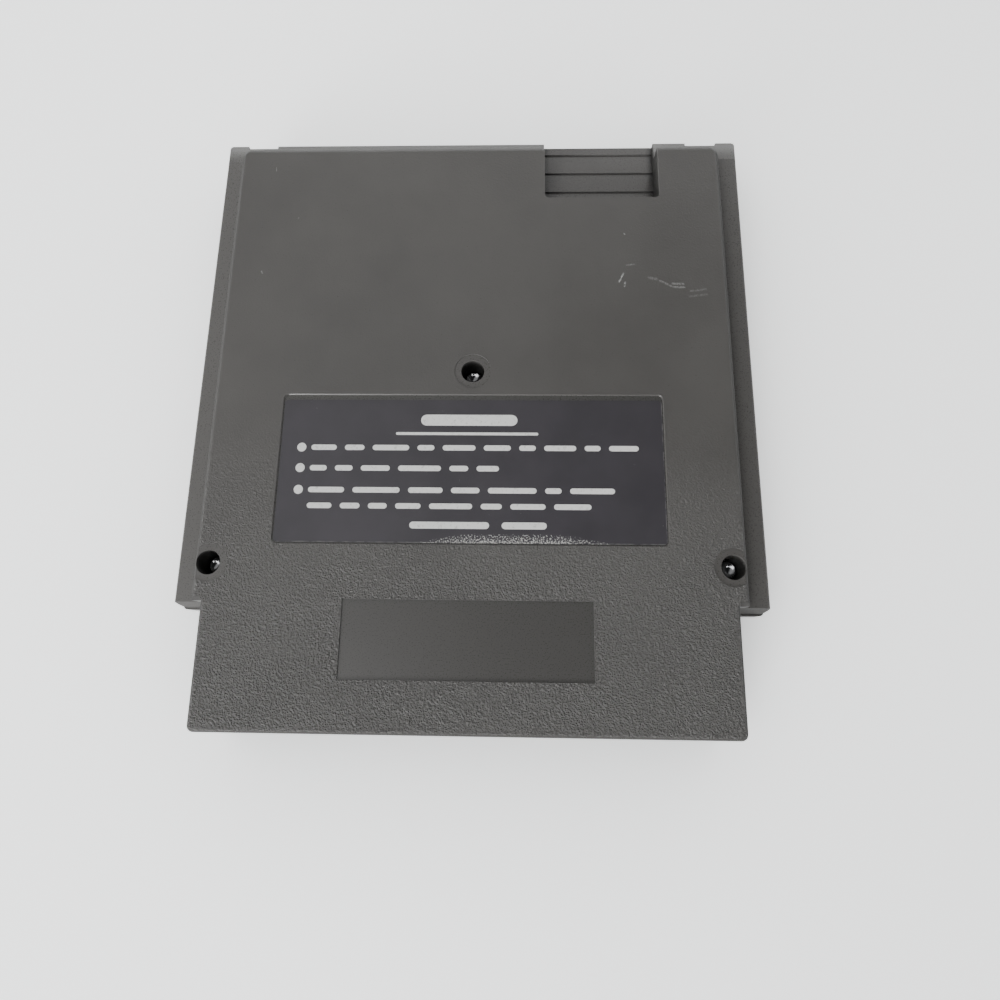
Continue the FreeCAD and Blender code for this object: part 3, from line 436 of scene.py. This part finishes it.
def from_screws(finish):
    """Distance in plan from the nearest screw's axis."""
    side = SCREWS_HIGH.x - SCREW_HEAD_RADIUS
    near_y = SCREWS_LOW.y + SCREW_HEAD_RADIUS
    far_y = SCREWS_HIGH.y - SCREW_HEAD_RADIUS
    nearest = finish.math("MINIMUM", finish.from_axis(-side, near_y), finish.from_axis(side, near_y))
    return finish.math("MINIMUM", nearest, finish.from_axis(0.0, far_y))


def paint_light_and_shade(finish, colour, depth, wall):
    """Paints shade into the screw wells and the notch's corners, and paints light onto the ridges' walls, the
    far edge and the flanges' tops.
    """
    # Painted light on the flanges' tops
    outside = finish.ramp(finish.math("ABSOLUTE", finish.x), *FLANGE_STARTS)
    flange_light = finish.math("MULTIPLY", outside, finish.ramp(depth, *FLANGE_DEPTHS))
    flange_light = finish.math("MULTIPLY", flange_light, finish.math("SUBTRACT", 1.0, wall))
    colour = finish.blend(flange_light, colour, FLANGE_LIGHT_COLOUR)

    # Painted shade in the screw wells
    in_well = finish.ramp(from_screws(finish), *WELL_SHADE_RADII, 1.0, 0.0)
    painted_shade = finish.math("MULTIPLY", in_well, finish.ramp(depth, *WELL_SHADE_DEPTHS, 0.0, WELL_SHADE))

    # Painted shade in the notch's corners, and painted light on its ridges' walls
    from_side = finish.within(finish.x, *NOTCH_SIDES)
    between_sides = finish.ramp(from_side, *NOTCH_SIDE_BLUR)
    in_notch = finish.math("MULTIPLY", between_sides, finish.ramp(depth, *NOTCH_DEPTHS))
    in_notch = finish.math("MULTIPLY", in_notch, finish.ramp(finish.y, *NOTCH_STARTS))
    corner = finish.ramp(from_side, 0.0, NOTCH_SHADE_REACH, NOTCH_SHADE, 0.0)
    painted_shade = finish.math("MAXIMUM", painted_shade, finish.math("MULTIPLY", in_notch, corner))
    ridge_light = finish.math("MULTIPLY", in_notch, wall)
    ridge_light = finish.math("MULTIPLY", ridge_light, finish.ramp(from_side, *RIDGE_ENDS))

    # Painted highlight on the far edge
    at_depth = finish.ramp(finish.within(depth, *FAR_EDGE_DEPTHS), 0.0, FAR_EDGE_BLUR)
    far_highlight = finish.math("MULTIPLY", finish.ramp(finish.y, *FAR_EDGE), at_depth)
    colour = finish.blend(far_highlight, finish.blend(ridge_light, colour, PAINTED_LIGHT_COLOUR), FAR_EDGE_HIGHLIGHT)
    return finish.blend(painted_shade, colour, PAINTED_SHADE_COLOUR)


def leather_relief(finish):
    """Height of the leathery grain: raised skin between creases, and pores."""
    creases = finish.math("ABSOLUTE", finish.math("SUBTRACT", finish.noise(*CREASES), NOISE_MIDDLE))
    skin = finish.math("MULTIPLY", finish.math("SUBTRACT", creases, CREASE_LEVEL), CREASE_SHARE)
    pores = finish.math("SUBTRACT", finish.noise(*PORES), NOISE_MIDDLE)
    return finish.math("ADD", skin, finish.math("MULTIPLY", pores, PORE_SHARE))


def scuff_marks(finish, scuffs):
    """1 where strokes have scratched the plastic, broken up along each stroke."""
    worn = 0.0
    for start, end, half_width, strength in scuffs:
        mark = finish.math("MULTIPLY", finish.stroke(start, end, half_width), strength)
        worn = finish.math("MAXIMUM", worn, mark)
    return finish.math("MULTIPLY", worn, finish.ramp(finish.noise(*SCUFF_BREAKS), *SCUFF_SPAN))


def rounded_rims(finish, level):
    """1 on faces that lean, apart from the bevel around the label."""
    beside_label = finish.within(finish.x, LABEL_LOW.x, LABEL_HIGH.x)
    beyond_label = finish.within(finish.y, LABEL_LOW.y, LABEL_HIGH.y)
    inside_label = finish.math("MINIMUM", beside_label, beyond_label)
    off_label = finish.ramp(inside_label, *LABEL_MARGIN, 1.0, 0.0)
    return finish.math("MULTIPLY", finish.ramp(level, *RIM_LEVELS, 1.0, 0.0), off_label)


def plastic(name, face_level, outward, scuffs=()):
    """Grey moulded plastic: leathery grain on the outer face, smooth on every lower level."""
    finish = Finish(name)
    depth = finish.math("MULTIPLY", finish.math("SUBTRACT", face_level, finish.z), outward)
    on_face = finish.ramp(depth, *GRAIN_FADE, 1.0, 0.0)
    grained = finish.math("MULTIPLY", on_face, finish.ramp(finish.y, *GRAIN_RUBBED, 1.0, GRAIN_LEFT))
    leather = leather_relief(finish)
    satin = finish.math("MULTIPLY", finish.noise(*SATIN), SATIN_SHARE)
    height = finish.math("ADD", finish.math("MULTIPLY", leather, grained), satin)

    cloud = finish.ramp(finish.noise(*PLASTIC_CLOUDS), *NOISE_SPREAD)
    colour = finish.blend(cloud, PLASTIC_DARK, PLASTIC_LIGHT)
    colour = finish.blend(finish.math("MULTIPLY", grained, GRAIN_TINT), colour, GRAIN_COLOUR)
    # Painted shade in the grain's pits
    pit_shade = finish.math("MULTIPLY", finish.ramp(leather, *PIT_LEVELS, 1.0, 0.0), grained)
    colour = finish.blend(finish.math("MULTIPLY", pit_shade, PIT_SHADE), colour, PIT_SHADE_COLOUR)
    plate_top, plate_foot = PLATE_DEPTHS
    on_plate = finish.math("MULTIPLY", finish.ramp(depth, plate_top, plate_top + PLATE_BLUR),
                           finish.ramp(depth, plate_foot, plate_foot + PLATE_BLUR, 1.0, 0.0))
    colour = finish.blend(on_plate, colour, SUNK_COLOUR)
    if scuffs:
        worn = scuff_marks(finish, scuffs)
        colour = finish.blend(worn, colour, SCUFF_COLOUR)
        height = finish.math("ADD", height, finish.math("MULTIPLY", worn, SCUFF_RISE))

    level = finish.levelness()
    wall = finish.ramp(level, *WALL_LEVELS, 1.0, 0.0)
    # Painted light on the walls of low steps
    lit_low_step = finish.math("MULTIPLY", wall, finish.ramp(depth, *LOW_STEP_DEPTHS, 1.0, 0.0))
    colour = finish.blend(lit_low_step, colour, PAINTED_LIGHT_COLOUR)
    rim = rounded_rims(finish, level)
    # Painted shade on the rounded rims
    rim_shade = finish.math("MULTIPLY", rim, finish.ramp(level, *ROUNDING_LEVELS, 0.0, ROUNDING_SHADE))
    colour = finish.blend(rim_shade, colour, RIM_SHADE_COLOUR)
    if scuffs:
        colour = paint_light_and_shade(finish, colour, depth, wall)
    finish.set("Base Color", colour)

    matt = finish.math("ADD", finish.math("MULTIPLY", on_face, FACE_MATT), finish.noise(*MATT))
    matt = finish.ramp(matt, *MATT_SPREAD, *PLASTIC_ROUGHNESS)
    rim = finish.math("MULTIPLY", rim, finish.ramp(level, *UPRIGHT_LEVELS, UPRIGHT_SHARE, 1.0))
    finish.set("Roughness", finish.math("ADD", matt, finish.math("MULTIPLY", rim, RIM_ROUGHNESS)))
    finish.bump(height, GRAIN_DEPTH)
    return finish


def blackened_steel():
    """Glossy black screws with slightly dished heads."""
    finish = Finish("blackened_steel")
    brushed = finish.noise(*BRUSHING)
    finish.set("Base Color", finish.blend(brushed, STEEL_DARK, STEEL_LIGHT))
    finish.set("Metallic", 1.0)
    finish.set("Roughness", finish.ramp(brushed, *NOISE_SPREAD, *STEEL_ROUGHNESS))
    square = finish.math("POWER", from_screws(finish), 2.0)
    dish = finish.math("DIVIDE", square, 2 * SCREW_DISH_RADIUS)
    finish.bump(finish.math("ADD", dish, finish.math("MULTIPLY", brushed, BRUSHING_RELIEF)), 1.0)
    return finish


def label_film():
    """Dark satin sticker: faint clouding, two pale cut edges, and paper where the lower edge is rubbed."""
    finish = Finish("label_film")
    cloud = finish.ramp(finish.noise(*LABEL_CLOUDS), *NOISE_SPREAD)
    colour = finish.blend(cloud, LABEL_DARK, LABEL_LIGHT)

    over_edge = finish.math("SUBTRACT", finish.y, LABEL_LOW.y)
    from_middle = finish.math("ABSOLUTE", finish.math("SUBTRACT", finish.x, RUB_MIDDLE))
    reach = finish.ramp(from_middle, RUB_FULL_SHARE * RUB_HALF_LENGTH, RUB_HALF_LENGTH, RUB_HEIGHT, 0.0)
    near_edge = finish.math("SUBTRACT", reach, over_edge)
    growth = finish.math("MULTIPLY", near_edge, RUB_GROWTH)
    rubbed = finish.ramp(finish.math("ADD", growth, finish.noise(*PAPER_FIBRES)), *RUB_SPAN)
    rubbed = finish.math("MULTIPLY", rubbed, finish.ramp(near_edge, *RUB_BLUR))

    from_rim = finish.math("MINIMUM", over_edge, finish.math("SUBTRACT", LABEL_HIGH.x, finish.x))
    rim = finish.ramp(from_rim, LABEL_RIM_CORE * LABEL_RIM, LABEL_RIM, LABEL_RIM_TINT, 0.0)
    rim = finish.math("MULTIPLY", rim, finish.ramp(finish.noise(*RIM_BREAKS), *RIM_BREAK_SPAN))
    specks = finish.ramp(finish.noise(*SPECKS, finish.stretched(*SPECK_STRETCH)), *SPECK_SPAN)
    specks = finish.math("MULTIPLY", specks, SPECK_TINT)
    paper = finish.math("MAXIMUM", finish.math("MAXIMUM", rubbed, rim), specks)

    finish.set("Base Color", finish.blend(paper, colour, PAPER_COLOUR))
    finish.set("Roughness", finish.ramp(paper, 0.0, 1.0, *LABEL_ROUGHNESS))
    ripple = finish.math("MULTIPLY", finish.noise(*LABEL_RIPPLE), LABEL_RIPPLE_SHARE)
    ripple = finish.math("SUBTRACT", ripple, rubbed)
    finish.bump(finish.math("ADD", ripple, finish.noise(*LABEL_TEXTURE)), LABEL_RELIEF)
    return finish


def printed_ink():
    """Pale ink, worn thin in patches."""
    finish = Finish("printed_ink")
    worn = finish.ramp(finish.noise(*INK_WEAR), *INK_WEAR_SPAN)
    finish.set("Base Color", finish.blend(worn, INK_COLOUR, INK_WORN))
    finish.set("Roughness", finish.ramp(worn, 0.0, 1.0, *INK_ROUGHNESS))
    finish.bump(finish.noise(*INK_TEXTURE), INK_RELIEF)
    return finish


def board_laminate():
    """Green lacquer over copper tracks that run from the contacts up the board."""
    finish = Finish("board_laminate")
    bend = finish.math("MULTIPLY", finish.noise(*TRACK_BENDS), TRACK_WANDER)
    lane = finish.math("DIVIDE", finish.math("ADD", finish.x, bend), TRACK_PITCH)
    track = finish.ramp(finish.math("PINGPONG", lane, 0.5), *TRACK_SPAN)
    weave = finish.noise(*WEAVE)
    lacquer = finish.blend(weave, LACQUER_DARK, LACQUER_LIGHT)
    finish.set("Base Color", finish.blend(track, lacquer, TRACK_COLOUR))
    finish.set("Roughness", finish.ramp(weave, *NOISE_SPREAD, *LACQUER_ROUGHNESS))
    finish.bump(finish.math("ADD", track, finish.math("MULTIPLY", weave, WEAVE_SHARE)), TRACK_RELIEF)
    return finish


def gilded_copper():
    """Gold flash with the lengthwise rub marks of many insertions."""
    finish = Finish("gilded_copper")
    rubs = finish.noise(*RUB_MARKS, finish.stretched(*RUB_STRETCH))
    finish.set("Base Color", finish.blend(rubs, GOLD_DARK, GOLD_LIGHT))
    finish.set("Metallic", 1.0)
    finish.set("Roughness", finish.ramp(rubs, *RUB_MARK_SPAN, *GOLD_ROUGHNESS))
    finish.bump(rubs, GOLD_RELIEF)
    return finish


def tinned_metal(name, dull, bright, roughness):
    """Metal with patches of tarnish."""
    finish = Finish(name)
    tarnish = finish.noise(*TARNISH)
    finish.set("Base Color", finish.blend(finish.ramp(tarnish, *NOISE_SPREAD), dull, bright))
    finish.set("Metallic", 1.0)
    finish.set("Roughness", finish.ramp(tarnish, *NOISE_SPREAD, roughness, roughness + TARNISH_ROUGHNESS))
    finish.bump(tarnish, TARNISH_RELIEF)
    return finish


def shrink_sleeve():
    """Dark blue sleeve with a plain pale stripe on one side."""
    finish = Finish("shrink_sleeve")
    low, high = (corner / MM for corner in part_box("bulk_capacitor_sleeve"))
    film = finish.noise(*SLEEVE_FILM)
    blue = finish.blend(film, SLEEVE_DARK, SLEEVE_LIGHT)
    stripe = finish.ramp(finish.y, *(high.y - share * (high.y - low.y) for share in STRIPE_SHARES))
    finish.set("Base Color", finish.blend(stripe, blue, STRIPE_COLOUR))
    finish.set("Roughness", finish.ramp(film, *NOISE_SPREAD, *SLEEVE_ROUGHNESS))
    finish.bump(film, SLEEVE_RELIEF)
    return finish


def mottled(name, pattern, dark, light, roughness, relief):
    """A dull material in which one noise pattern gives colour, roughness and relief."""
    finish = Finish(name)
    mottle = finish.noise(*pattern)
    finish.set("Base Color", finish.blend(mottle, dark, light))
    finish.set("Roughness", finish.ramp(mottle, *NOISE_SPREAD, *roughness))
    finish.bump(mottle, relief)
    return finish


def studio_sheet(name):
    """Plain pale sheet for the floor and the backdrop."""
    finish = Finish(name)
    cloud = finish.ramp(finish.noise(*SHEET_CLOUDS), *NOISE_SPREAD)
    finish.set("Base Color", finish.blend(cloud, FLOOR_COLOUR, FLOOR_SHADE))
    finish.set("Roughness", finish.ramp(finish.noise(*SHEET_TEXTURE), *NOISE_SPREAD, *SHEET_ROUGHNESS))
    return finish


def glowing_floor():
    """The floor's sheet, which glows as if lit from beneath, with painted shade to the right and a painted
    contact shadow close to the part.
    """
    finish = studio_sheet("floor_sheet")
    reach = {"Distance": SHADE_REACH}
    clear = finish.node("ShaderNodeAmbientOcclusion", reach, samples=SHADE_SAMPLES).outputs["AO"]
    # Painted contact shadow near the part, and painted shade towards the right
    share = finish.math("MULTIPLY", clear, finish.ramp(finish.x, *GLOW_ACROSS, *GLOW_SHARES))
    finish.set("Emission Color", FLOOR_COLOUR)
    finish.set("Emission Strength", finish.math("MULTIPLY", share, FLOOR_GLOW))
    return finish


def round_edges(node, width):
    """Rounds the edges of a small CAD node, which then catch the light."""
    piece = NODES[node]
    weld = piece.modifiers.new("weld", "WELD")
    weld.merge_threshold = WELD_DISTANCE * MM
    bevel = piece.modifiers.new("bevel", "BEVEL")
    bevel.width = width * MM
    bevel.segments = ROUNDING_SEGMENTS
    bevel.limit_method = "ANGLE"
    bevel.angle_limit = math.radians(ROUNDING_ANGLE_DEGREES)


def new_piece(name, mesh, finish):
    """An object in the scene with one finish."""
    piece = bpy.data.objects.new(name, mesh)
    mesh.materials.append(finish.material)
    bpy.context.scene.collection.objects.link(piece)
    return piece


def capsule(start, end, row, height):
    """Outline of a bar with round ends, in plan."""
    radius = height / 2
    outline = []
    for centre, first_angle in ((end - radius, -90), (start + radius, 90)):
        for step in range(ARC_STEPS + 1):
            angle = math.radians(first_angle + 180 * step / ARC_STEPS)
            outline.append((centre + radius * math.cos(angle), row + radius * math.sin(angle)))
    return outline


def bar_outlines():
    """The printed shapes: heading, rule, foot, dots, and rows cut into bars of uneven length."""
    outlines = [capsule(*bar) for bar in (HEADING, RULE, *FOOT_BARS)]
    outlines += [capsule(DOT_X - DOT_RADIUS, DOT_X + DOT_RADIUS, row, 2 * DOT_RADIUS) for row in DOT_ROWS]
    draw = random.Random(PRINT_SEED)
    for row, row_end in BAR_ROWS:
        start = BAR_START
        while start + BAR_LENGTHS[0] < row_end:
            end = min(start + draw.uniform(*BAR_LENGTHS), row_end)
            outlines.append(capsule(start, end, row, BAR_HEIGHT))
            start = end + BAR_GAP
    return outlines


def add_label_print():
    """Thin raised ink on the label."""
    ink = bmesh.new()
    for outline in bar_outlines():
        corners = [ink.verts.new((x * MM, y * MM, LABEL_HIGH.z * MM)) for x, y in outline]
        base = ink.faces.new(corners)
        raised = bmesh.ops.extrude_face_region(ink, geom=[base])["geom"]
        lifted = [item for item in raised if isinstance(item, bmesh.types.BMVert)]
        bmesh.ops.translate(ink, verts=lifted, vec=(0, 0, PRINT_THICKNESS * MM))
    bmesh.ops.recalc_face_normals(ink, faces=ink.faces)
    mesh = bpy.data.meshes.new("label_print")
    ink.to_mesh(mesh)
    ink.free()
    piece = new_piece("label_print", mesh, printed_ink())
    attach(piece, "root")


def add_floor():
    """A square of pale sheet that the part lies on."""
    mesh = bpy.data.meshes.new("floor")
    signs = ((-1, -1), (1, -1), (1, 1), (-1, 1))
    corners = [(x * FLOOR_HALF_WIDTH, y * FLOOR_HALF_WIDTH, 0.0) for x, y in signs]
    mesh.from_pydata(corners, [], [(0, 1, 2, 3)])
    new_piece("floor", mesh, glowing_floor())


def add_backdrop():
    """A round wall of pale sheet that faces the part."""
    wall = bmesh.new()
    low, high = [], []
    for step in range(BACKDROP_STEPS):
        angle = 2 * math.pi * step / BACKDROP_STEPS
        x, y = BACKDROP_RADIUS * math.cos(angle), BACKDROP_RADIUS * math.sin(angle)
        low.append(wall.verts.new((x, y, 0.0)))
        high.append(wall.verts.new((x, y, BACKDROP_HEIGHT)))
    for step in range(BACKDROP_STEPS):
        after = (step + 1) % BACKDROP_STEPS
        wall.faces.new((low[after], low[step], high[step], high[after]))
    mesh = bpy.data.meshes.new("backdrop")
    wall.to_mesh(mesh)
    wall.free()
    new_piece("backdrop", mesh, studio_sheet("backdrop_sheet"))


def add_softbox(name, place, size, power):
    """A flat rectangular light that faces the part."""
    light = bpy.data.lights.new(name, "AREA")
    light.shape = "RECTANGLE"
    light.size, light.size_y = size
    light.energy = power
    lamp = bpy.data.objects.new(name, light)
    lamp.location = place
    lamp.rotation_euler = (-Vector(place)).to_track_quat("-Z", "Y").to_euler()
    bpy.context.scene.collection.objects.link(lamp)


def add_studio():
    """The lights, and a faint even light from all around."""
    for name, (place, size, power) in SOFTBOXES.items():
        add_softbox(name, place, size, power)
    world = bpy.data.worlds.new("studio")
    world.use_nodes = True
    background = world.node_tree.nodes["Background"]
    background.inputs["Color"].default_value = WORLD_COLOUR
    background.inputs["Strength"].default_value = WORLD_STRENGTH
    bpy.context.scene.world = world


def add_camera():
    """The camera at the photo's angle."""
    data = bpy.data.cameras.new("camera")
    data.lens = CAMERA_LENS
    data.sensor_width = SENSOR_WIDTH
    data.clip_start = NEAR_CLIP * MM
    camera = bpy.data.objects.new("camera", data)
    camera.location = [MM * value for value in CAMERA_PLACE]
    camera.rotation_euler = [math.radians(value) for value in CAMERA_TURN_DEGREES]
    bpy.context.scene.collection.objects.link(camera)
    bpy.context.scene.camera = camera


def dress_nodes():
    """Gives every CAD node its finish."""
    dress(plastic("back_plastic", BACK_FACE, 1.0, SCUFFS), "back_shell")
    dress(plastic("front_plastic", FRONT_FACE, -1.0), "front_shell")
    dress(blackened_steel(), "case_screws")
    dress(label_film(), "rear_label")
    dress(board_laminate(), "circuit_board")
    dress(gilded_copper(), "rear_contacts", "front_contacts")
    epoxy = mottled("moulded_epoxy", EPOXY_GRIT, EPOXY_DARK, EPOXY_LIGHT, roughness=(0.5, 0.68), relief=0.02)
    dress(epoxy, "program_chip", "graphics_chip", "lockout_chip")
    tin = tinned_metal("tinned_leads", TIN_DULL, TIN_BRIGHT, TIN_ROUGHNESS)
    dress(tin, "program_chip_leads", "graphics_chip_leads", "lockout_chip_leads", "bulk_capacitor_leads",
          "ceramic_capacitor_leads")
    dress(tinned_metal("drawn_can", CAN_DULL, CAN_BRIGHT, CAN_ROUGHNESS), "bulk_capacitor_can")
    dress(shrink_sleeve(), "bulk_capacitor_sleeve")
    rubber = mottled("rubber", RUBBER_BLOOM, RUBBER_DARK, RUBBER_LIGHT, roughness=(0.65, 0.85), relief=0.02)
    dress(rubber, "bulk_capacitor_bung")
    ceramic = mottled("dipped_ceramic", CERAMIC_RUNS, CERAMIC_DARK, CERAMIC_LIGHT, roughness=(0.3, 0.45),
                      relief=0.05)
    dress(ceramic, "ceramic_capacitors")


dress_nodes()
round_edges("case_screws", SCREW_ROUNDING)
round_edges("ceramic_capacitors", DISC_ROUNDING)
add_label_print()
add_floor()
add_backdrop()
add_studio()
add_camera()
